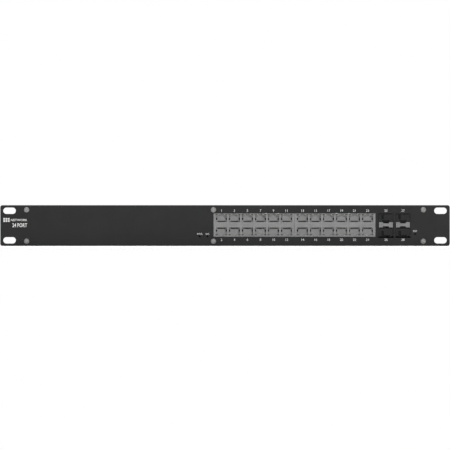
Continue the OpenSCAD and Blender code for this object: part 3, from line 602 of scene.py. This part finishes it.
def add_text(bm, words, x, z, height, align="CENTER", bold=0.0, squeeze=1.0):
    """Adds thin raised lettering to the front of the panel. x, z is the middle of its height."""
    panel_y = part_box("front_panel")[0].y
    curve = bpy.data.curves.new("lettering", "FONT")
    curve.body = words
    curve.align_x = align
    curve.size = 1.0
    curve.offset = bold
    curve.extrude = 0.5
    curve.resolution_u = 3
    obj = bpy.data.objects.new("lettering", curve)
    bpy.context.scene.collection.objects.link(obj)
    bpy.context.view_layer.update()
    made = bpy.data.meshes.new_from_object(obj.evaluated_get(bpy.context.evaluated_depsgraph_get()))
    top = max(v.co.y for v in made.vertices)
    low = min(v.co.y for v in made.vertices)
    k = height / (top - low)
    place = Matrix(((k * squeeze, 0, 0, x),
                    (0, 0, -INK_T, panel_y - INK_T / 2),
                    (0, k, 0, z - height / 2 - low * k),
                    (0, 0, 0, 1)))
    made.transform(place)
    bm.from_mesh(made)
    bpy.data.objects.remove(obj)
    bpy.data.curves.remove(curve)
    bpy.data.meshes.remove(made)


def add_block(bm, lo, hi):
    """Adds a closed box between two corners."""
    made = bmesh.ops.create_cube(bm, size=1.0)
    size = Vector(hi) - Vector(lo)
    centre = (Vector(hi) + Vector(lo)) / 2
    for v in made["verts"]:
        v.co = Vector((v.co.x * size.x, v.co.y * size.y, v.co.z * size.z)) + centre


def printed(name, bm):
    """Finishes lettering or marks as one inked piece."""
    bmesh.ops.remove_doubles(bm, verts=bm.verts, dist=0.0005 * MM)
    return finish_piece(mesh_object(name, bm), "chassis", "panel_paint", INK)


INK = print_ink()
PORT_PITCH = 13.97 * MM
COLUMNS = 6
ROW_TOP, ROW_LOW = 16.0 * MM, -15.2 * MM


def port_numbers():
    """Odd numbers over the port columns and even ones under them, then 25 to 28 at the module bays."""
    bm = bmesh.new()
    size = 2.5 * MM
    for block, name in enumerate(("port_housing_left", "port_housing_right")):
        centre = middle(*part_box(name))
        for col in range(COLUMNS):
            x = centre.x + (col - (COLUMNS - 1) / 2) * PORT_PITCH
            first = 2 * (block * COLUMNS + col) + 1
            add_text(bm, str(first), x, ROW_TOP, size)
            add_text(bm, str(first + 1), x, ROW_LOW, size)
    for bay, name in enumerate(("sfp_cage_left", "sfp_cage_right")):
        x = middle(*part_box(name)).x
        add_text(bm, str(25 + 2 * bay), x, ROW_TOP, size)
        add_text(bm, str(26 + 2 * bay), x, ROW_LOW, size)
    return printed("printed_port_numbers", bm)


def small_legends():
    """Legends over the two status lights and the reset hole."""
    bm = bmesh.new()
    lo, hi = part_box("status_leds")
    lift, height = 2.6 * MM, 1.9 * MM
    for x, words in ((lo.x + 1.6 * MM, "PWR"), (hi.x - 1.6 * MM, "SYS")):
        add_text(bm, words, x, middle(lo, hi).z + lift, height)
    hole = middle(*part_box("reset_plunger"))
    add_text(bm, "RST", hole.x, hole.z + lift + 0.4 * MM, height)
    return printed("printed_legends", bm)


def front_mark():
    """A plain pictogram of a row of ports with generic words beside and below it."""
    bm = bmesh.new()
    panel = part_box("front_panel")
    left = panel[0].x + 3.4 * MM
    y0, y1 = panel[0].y - INK_T, panel[0].y
    cell, space = 1.8 * MM, 0.6 * MM
    for col in range(3):
        for row in range(2):
            x = left + col * (cell + space)
            z = 3.9 * MM + row * (cell + space)
            add_block(bm, (x, y0, z), (x + cell, y1, z + cell))
    right = panel[0].x + 28.9 * MM
    add_text(bm, "NETWORK", right, 5.9 * MM, 2.3 * MM, "RIGHT", bold=0.01, squeeze=1.1)
    add_text(bm, "24 PORT", right, 0.35 * MM, 4.3 * MM, "RIGHT", bold=0.02, squeeze=0.72)
    return printed("printed_front_mark", bm)


def rear_symbols():
    """Protective-earth symbol beside the stud, on the rear wall."""
    bm = bmesh.new()
    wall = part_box("chassis_base")[1].y
    lo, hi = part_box("ground_nut")
    x, z = (lo.x + hi.x) / 2, hi.z + 6.5 * MM
    ring(bm, x, z, wall, 3.0 * MM, 3.35 * MM)
    back = wall + INK_T
    stroke = 0.2 * MM
    add_block(bm, (x - stroke, wall, z), (x + stroke, back, z + 2.2 * MM))
    for step, half in enumerate((1.9, 1.25, 0.6)):
        low = z - step * 0.75 * MM
        add_block(bm, (x - half * MM, wall, low - 2 * stroke), (x + half * MM, back, low))
    return printed("printed_rear_symbols", bm)


def ring(bm, x, z, wall, inner, outer, steps=40):
    """Adds a flat closed ring that stands on the rear wall."""
    loops = []
    for radius, y in ((inner, wall), (outer, wall), (outer, wall + INK_T), (inner, wall + INK_T)):
        loops.append([bm.verts.new((x + radius * math.cos(2 * math.pi * i / steps), y,
                                    z + radius * math.sin(2 * math.pi * i / steps))) for i in range(steps)])
    for k in range(4):
        a, b = loops[k], loops[(k + 1) % 4]
        for i in range(steps):
            j = (i + 1) % steps
            bm.faces.new((a[i], a[j], b[j], b[i]))


def threaded_stud():
    """The earth stud with its head and a rolled helical thread out to a chamfered end."""
    lo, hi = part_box("ground_stud")
    length = hi.y - lo.y
    head, under_nut, crest, root, pitch = 3.8 * MM, 10 * MM, 2.0 * MM, 1.68 * MM, 0.7 * MM
    head_r = (hi.x - lo.x) / 2

    def thread(along, radius, a):
        if radius < crest - 0.01 * MM or along < under_nut:
            return radius
        phase = (along / pitch - a / (2 * math.pi)) % 1.0
        depth = min(1.0, (length - along) / (0.8 * MM), (along - under_nut) / (0.5 * MM))
        chamfer = 0.35 * MM * (1 - min(1, (length - along) / (0.6 * MM)))
        return crest - (crest - root) * depth * abs(2 * phase - 1) - chamfer

    edge = 0.3 * MM
    profile = [(0, head_r - edge), (edge, head_r), (head - edge, head_r), (head, head_r - edge),
               (head, crest - 0.1 * MM), (under_nut - edge, crest - 0.1 * MM),
               (under_nut - 0.1 * MM, crest - 0.4 * MM), (under_nut, crest - 0.4 * MM)]
    steps = 86
    for i in range(steps + 1):
        profile.append((under_nut + (length - under_nut) * (i + 1) / (steps + 1), crest))
    bm = bmesh.new()
    origin = Vector((middle(lo, hi).x, lo.y, middle(lo, hi).z))
    turned(bm, origin, Vector((0, 1, 0)), profile, 28, thread)
    obj = finish_piece(mesh_object("threaded_ground_stud", bm), "chassis", "plated_brass")
    smooth(obj, 40)
    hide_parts("ground_stud")


def blade(bm, origin, turn, root_r, tip_r, y0, y1):
    """Adds one twisted, cambered fan blade with a thick nose and a thin tail."""
    spans, chords = 7, 11
    rows = []
    for i in range(spans):
        t = i / (spans - 1)
        r = root_r + (tip_r - root_r) * t
        slant = math.radians(33 + 14 * t)
        half = (y1 - y0) / 2
        upper, lower = [], []
        for k in range(chords):
            u = k / (chords - 1)
            along = half * (2 * u - 1)
            camber = 1.5 * MM * math.sin(math.pi * u) * (1 - 0.3 * t)
            nose_to_tail = (0.25 + 1.5 * math.sqrt(max(0.0, u * (1 - u)))) * (1.15 - 0.6 * u)
            thick = (0.75 - 0.2 * t) * MM * nose_to_tail
            for side, row in ((1, upper), (-1, lower)):
                across = -along * math.tan(slant) - camber + side * thick
                a = turn + across / r
                point = Vector((r * math.cos(a), (y0 + y1) / 2 + along, r * math.sin(a)))
                row.append(bm.verts.new(origin + point))
        rows.append(upper + lower[::-1])
    loft(bm, rows)


def impeller(side):
    """Hub with a rounded, ringed face, seven aerofoil blades and the shaft."""
    node = "fan_%s_impeller" % side
    lo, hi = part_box(node)
    origin = Vector((middle(lo, hi).x, lo.y, middle(lo, hi).z))
    hub_r, hub_h = 10 * MM, 14.5 * MM
    shaft_r, edge = 0.94 * MM, 0.3 * MM
    rings = ((0.35, 2.2), (0.0, 2.6), (0.0, 6.4), (0.35, 6.8),
             (0.35, 7.4), (0.0, 7.8), (0.1, 8.9), (0.5, 9.6))
    profile = [(along * MM, radius * MM) for along, radius in rings]
    profile += [(1.2 * MM, hub_r), (hub_h - edge, hub_r), (hub_h, hub_r - edge),
                (hub_h, shaft_r), (hi.y - lo.y, shaft_r)]
    bm = bmesh.new()
    turned(bm, origin, Vector((0, 1, 0)), profile, 48)
    blades = 7
    tip_r = 18.2 * MM
    for i in range(blades):
        blade(bm, origin, 2 * math.pi * i / blades, hub_r - 0.4 * MM, tip_r, 1.3 * MM, hub_h - 1.3 * MM)
    obj = finish_piece(mesh_object("fan_%s_rotor" % side, bm), node, "fan_plastic")
    smooth(obj, 45)
    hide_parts(node)


def squared_ring(around, across, major, minor):
    """Point of an upright ring whose section is a rounded square, from its centre; angles in radians."""
    c, d = math.cos(across), math.sin(across)
    reach = minor / (abs(c) ** 4 + abs(d) ** 4) ** 0.25
    out = Vector((math.cos(around), 0, math.sin(around)))
    return out * (major + reach * c) + Vector((0, reach * d, 0))


def wound_choke():
    """Toroid core with a helical enamelled winding whose two ends run down into the board."""
    lo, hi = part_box("psu_choke")
    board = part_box("psu_board")[1].z
    wire_r, outer = 0.55 * MM, (hi.x - lo.x) / 2
    minor = (hi.y - lo.y) / 2 * 0.88 - wire_r
    centre = Vector((middle(lo, hi).x, middle(lo, hi).y, hi.z - outer))
    major = outer - minor - wire_r
    core = bmesh.new()
    steps, corners = 64, 16
    core_minor = (minor - wire_r * 1.05) * 0.97
    rings = [[core.verts.new(centre + squared_ring(2 * math.pi * i / steps, 2 * math.pi * k / corners,
                                                   major, core_minor))
              for k in range(corners)] for i in range(steps)]
    for i in range(steps):
        a, b = rings[i], rings[(i + 1) % steps]
        for k in range(corners):
            j = (k + 1) % corners
            core.faces.new((a[k], a[j], b[j], b[k]))
    body = finish_piece(mesh_object("choke_core", core), "chassis", "ferrite")
    smooth(body, 60)
    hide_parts("psu_choke")
    wire = bmesh.new()
    turns, per_turn = 34, 14
    opening = math.radians(42)
    path = []
    total = turns * per_turn
    for i in range(total + 1):
        around = -math.pi / 2 + opening / 2 + (2 * math.pi - opening) * i / total
        path.append(centre + squared_ring(around, 2 * math.pi * i / per_turn, major, minor + wire_r * 0.1))
    for end, sign in ((path[0], 1), (path[-1], -1)):
        x = end.x + sign * 1.5 * MM
        lead = [end, Vector((x, end.y, end.z - 1.0 * MM)), Vector((x, end.y, board - 0.5 * MM))]
        tube(wire, lead, wire_r)
    tube(wire, path, wire_r, 6)
    coil = finish_piece(mesh_object("choke_winding", wire), "chassis", "choke_wire")
    smooth(coil, 60)


def gull_leads(bm, lo, hi, board, pitch, sides):
    """Adds bent leads around a chip's package, on the sides named by their outward direction."""
    width, thick, reach, foot = 0.42 * pitch, 0.12 * MM, 0.9 * MM, 0.6 * MM
    height = board + (hi.z - board) * 0.5
    for out in sides:
        along = Vector((-out.y, out.x, 0))
        half = ((hi - lo).x if out.y else (hi - lo).y) / 2
        face = middle(lo, hi) + out * (((hi - lo).x if out.x else (hi - lo).y) / 2)
        count = int((2 * half - 1.2 * MM) / pitch)
        for i in range(count + 1):
            at = along * ((i - count / 2) * pitch)
            stations = ((-0.2 * MM, height), (0.35 * MM, height),
                        (reach - 0.2 * MM, board + thick), (reach + foot, board + thick))
            rows = []
            for far, z in stations:
                base = Vector((face.x, face.y, 0)) + at + out * far
                rows.append([bm.verts.new(base + along * w * width / 2 + Vector((0, 0, z + h)))
                             for w, h in ((-1, 0), (1, 0), (1, -thick), (-1, -thick))])
            loft(bm, rows)


def chip_leads():
    """Tinned leads of the chips on the main board."""
    bm = bmesh.new()
    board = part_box("main_board")[1].z
    four = [Vector((1, 0, 0)), Vector((-1, 0, 0)), Vector((0, 1, 0)), Vector((0, -1, 0))]
    for name, pitch, sides in (("switch_chip", 0.8 * MM, four), ("phy_chips", 0.65 * MM, four),
                               ("memory_chips", 1.0 * MM, four[2:])):
        for lo, hi in islands(name):
            gull_leads(bm, lo, hi, board, pitch, sides)
    return finish_piece(mesh_object("chip_leads", bm), "chassis", "post_steel")


def over(lo, hi, x, y):
    """Whether x, y lies within a box, seen from above."""
    return lo.x < x < hi.x and lo.y < y < hi.y


def small_board_parts():
    """Chip resistors and capacitors with plated ends, scattered in the main board's clear areas."""
    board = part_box("main_board")
    keep_out = []
    for name in ("switch_heatsink", "phy_heatsinks", "memory_chips", "power_inductors", "board_capacitors",
                 "board_connectors", "port_housing_left", "port_housing_right", "sfp_cage_left",
                 "sfp_cage_right", "reset_switch", "status_leds", "board_screws", "fan_cables", "dc_cable"):
        keep_out += islands(name)
    count, grid, margin = 190, 2.5 * MM, Vector((2.2, 2.2, 0)) * MM
    edge, front_edge, plating = 4 * MM, 6 * MM, 0.3 * MM
    maker = random.Random(7)
    bodies, ends = bmesh.new(), bmesh.new()
    placed = []
    while len(placed) < count:
        x = maker.uniform(board[0].x + edge, board[1].x - edge)
        y = maker.uniform(board[0].y + front_edge, board[1].y - edge)
        x, y = round(x / grid) * grid, round(y / grid) * grid
        busy = any(over(lo - margin, hi + margin, x, y) for lo, hi in keep_out)
        if busy or (x, y) in placed:
            continue
        placed.append((x, y))
        long, wide, high = maker.choice(((2.0, 1.2, 0.6), (1.6, 0.8, 0.5), (1.6, 0.8, 0.8)))
        if maker.random() < 0.5:
            half = Vector((long, wide, 0)) * MM / 2
            cap = Vector((plating, 0, 0))
        else:
            half = Vector((wide, long, 0)) * MM / 2
            cap = Vector((0, plating, 0))
        low, top = Vector((x, y, board[1].z)), Vector((0, 0, high * MM))
        add_block(bodies, low - half + cap, low + half - cap + top)
        grow = Vector((0.02, 0.02, 0)) * MM
        lift = Vector((0, 0, 0.02)) * MM
        end = Vector((half.x if cap.x else 0, half.y if cap.y else 0, 0))
        flat = half - end
        for near, far in ((-half, cap - end + flat), (end - cap - flat, half)):
            add_block(ends, low + near - grow, low + far + top + grow + lift)
    finish_piece(mesh_object("chip_resistor_bodies", bodies), "chassis", "chip_epoxy")
    finish_piece(mesh_object("chip_resistor_ends", ends), "chassis", "post_steel")


def power_transistors():
    """Two tabbed power packages with three legs each, clamped to the front of each supply heat sink."""
    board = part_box("psu_board")[1].z
    foot = board + 7 * MM
    apart, tab_half, tab_t, tab_top = 17 * MM, 5 * MM, 1.3 * MM, 15.5 * MM
    cases, metal = bmesh.new(), bmesh.new()
    for lo, hi in islands("psu_heatsinks"):
        for side in (-1, 1):
            x, y = middle(lo, hi).x + side * apart, lo.y
            add_block(metal, (x - tab_half, y - tab_t, foot + 0.5 * MM), (x + tab_half, y, foot + tab_top))
            bevelled_case(cases, x, y - 0.9 * MM, foot)
            for leg in (-1, 0, 1):
                at, near = x + leg * 2.54 * MM, y - 2.6 * MM
                bent = near - abs(leg) * 1.2 * MM
                path = [Vector((at, near, foot + 0.5 * MM)), Vector((at, near, foot - 2 * MM)),
                        Vector((at, bent, foot - 4 * MM)), Vector((at, bent, board - 0.4 * MM))]
                tube(metal, path, 0.38 * MM, 6)
    finish_piece(mesh_object("power_transistor_cases", cases), "chassis", "chip_epoxy")
    finish_piece(mesh_object("power_transistor_tabs", metal), "chassis", "post_steel")


def bevelled_case(bm, x, back, foot):
    """Adds the moulded body of a power package, drafted towards its front face."""
    wide, deep, high, draft = 10 * MM, 3.4 * MM, 9 * MM, 0.35 * MM
    rows = []
    for step, inset in ((0.0, 0.0), (0.55, 0.0), (1.0, draft)):
        y = back - deep * step
        rows.append([bm.verts.new((x + sx * (wide / 2 - inset), y, foot + (high - inset if up else inset)))
                     for sx, up in ((-1, 0), (1, 0), (1, 1), (-1, 1))])
    loft(bm, rows)


def capacitor_tops():
    """Aluminium tops of the round capacitors, split by the pressed vent cross."""
    bm = bmesh.new()
    for name in ("board_capacitors", "psu_bulk_capacitors", "psu_filter_capacitors"):
        for lo, hi in islands(name):
            wide, deep = hi.x - lo.x, hi.y - lo.y
            is_round = abs(wide - deep) < 0.2 * MM
            if is_round:
                centre = middle(lo, hi)
                for quarter in range(4):
                    top_sector(bm, centre.x, centre.y, hi.z, wide / 2 * 0.86, quarter)
    finish_piece(mesh_object("capacitor_tops", bm), "chassis", "sink_aluminium")


def top_sector(bm, x, y, z, radius, quarter):
    """Adds one raised quarter of a capacitor's top, apart from its neighbours by the vent groove."""
    groove, thick, steps = 0.035 * radius, 0.12 * MM, 8
    start = quarter * math.pi / 2
    outline = []
    a0 = math.asin(groove / radius)
    for i in range(steps + 1):
        a = start + a0 + (math.pi / 2 - 2 * a0) * i / steps
        outline.append((radius * math.cos(a), radius * math.sin(a)))
    corner = start + math.pi / 4
    outline.append((groove * math.sqrt(2) * math.cos(corner), groove * math.sqrt(2) * math.sin(corner)))
    loft(bm, [[bm.verts.new((x + u, y + v, z + h)) for u, v in outline] for h in (-0.02 * MM, thick)])


# ---------- Stage ----------

def floor():
    """A pale floor that fades into the white backdrop. It is clear from below and under the casing."""
    side = 6.0
    bm = bmesh.new()
    bmesh.ops.create_grid(bm, x_segments=1, y_segments=1, size=side)
    obj = mesh_object("floor", bm)
    obj.location.z = cad_box[0].z - 0.05 * MM
    s = Shader("floor", (0.92, 0.92, 0.92), 0.9, 0.0, 0.1)
    s.done()
    nt = s.tree
    clear = nt.nodes.new("ShaderNodeBsdfTransparent")
    far = s.node("ShaderNodeVectorMath", Vector=s.place())
    far.operation = "LENGTH"
    fade = s.spread(far.outputs["Value"], 0.4, 1.3)
    lo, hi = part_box("chassis_base")
    inset = 4 * MM
    under = s.math("MULTIPLY", s.math("LESS_THAN", s.math("ABSOLUTE", s.axis("X")), hi.x - inset),
                   s.math("MULTIPLY", s.math("GREATER_THAN", s.axis("Y"), lo.y + inset),
                          s.math("LESS_THAN", s.axis("Y"), hi.y - inset)))
    geo = nt.nodes.new("ShaderNodeNewGeometry")
    blend = nt.nodes.new("ShaderNodeMixShader")
    see_through = s.math("MAXIMUM", s.math("MAXIMUM", fade, under), geo.outputs["Backfacing"])
    nt.links.new(see_through, blend.inputs[0])
    nt.links.new(s.bsdf.outputs[0], blend.inputs[1])
    nt.links.new(clear.outputs[0], blend.inputs[2])
    nt.links.new(blend.outputs[0], nt.nodes["Material Output"].inputs["Surface"])
    obj.data.materials.append(s.mat)


def backdrop():
    """White to the camera; softer, and dimmer towards the ground, as a light."""
    world = bpy.data.worlds.new("studio")
    world.use_nodes = True
    bpy.context.scene.world = world
    nt = world.node_tree
    nt.nodes.clear()
    out = nt.nodes.new("ShaderNodeOutputWorld")
    seen, light = nt.nodes.new("ShaderNodeBackground"), nt.nodes.new("ShaderNodeBackground")
    seen.inputs["Color"].default_value = (1, 1, 1, 1)
    coords = nt.nodes.new("ShaderNodeTexCoord")
    split = nt.nodes.new("ShaderNodeSeparateXYZ")
    nt.links.new(coords.outputs["Generated"], split.inputs[0])
    ramp = nt.nodes.new("ShaderNodeMapRange")
    nt.links.new(split.outputs["Z"], ramp.inputs[0])
    for slot, item in zip((1, 2, 3, 4), (-0.4, 1.0, 0.25, 0.75)):
        ramp.inputs[slot].default_value = item
    nt.links.new(ramp.outputs[0], light.inputs["Strength"])
    light.inputs["Color"].default_value = (1, 1, 1, 1)
    path = nt.nodes.new("ShaderNodeLightPath")
    pick = nt.nodes.new("ShaderNodeMixShader")
    nt.links.new(path.outputs["Is Camera Ray"], pick.inputs[0])
    nt.links.new(light.outputs[0], pick.inputs[1])
    nt.links.new(seen.outputs[0], pick.inputs[2])
    nt.links.new(pick.outputs[0], out.inputs["Surface"])


def softbox(name, at, towards, side, watts):
    data = bpy.data.lights.new(name, "AREA")
    data.shape = "SQUARE"
    data.size = side
    data.energy = watts
    obj = bpy.data.objects.new(name, data)
    obj.location = at
    obj.rotation_euler = (Vector(towards) - Vector(at)).to_track_quat("-Z", "Y").to_euler()
    bpy.context.scene.collection.objects.link(obj)


def lights():
    softbox("front_light", (0.2, -3.2, 0.25), (0, 0, 0), 0.8, 30)
    softbox("top_light", (-0.3, 0.2, 1.8), (0, 0.1, 0), 1.4, 14)
    softbox("left_light", (-1.9, 0.5, 0.9), (0, 0.1, 0), 1.0, 12)
    softbox("right_light", (1.9, 0.4, 0.8), (0, 0.1, 0), 1.0, 8)
    softbox("rear_light", (0.7, 2.2, 0.9), (0, 0.2, 0), 1.0, 14)
    softbox("under_light", (0.2, 0.1, -1.6), (0, 0.1, 0), 1.2, 12)


def camera():
    """A long lens far in front, level with the panel, so that the panel fills the picture's width."""
    lo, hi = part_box("front_panel")
    distance, height = 8.0, 0.57 * MM
    shown = (hi.x - lo.x) * 1.00089
    data = bpy.data.cameras.new("camera")
    data.sensor_width = 36.0
    data.lens = data.sensor_width * distance / shown
    data.clip_end = 50.0
    obj = bpy.data.objects.new("camera", data)
    obj.location = (0, lo.y - distance, height)
    obj.rotation_euler = (math.radians(90), 0, 0)
    bpy.context.scene.collection.objects.link(obj)
    bpy.context.scene.camera = obj


dress_cad_nodes()
port_numbers()
small_legends()
front_mark()
rear_symbols()
threaded_stud()
impeller("left")
impeller("right")
wound_choke()
chip_leads()
small_board_parts()
capacitor_tops()
power_transistors()
floor()
backdrop()
lights()
camera()
bpy.context.scene.view_settings.view_transform = "Standard"
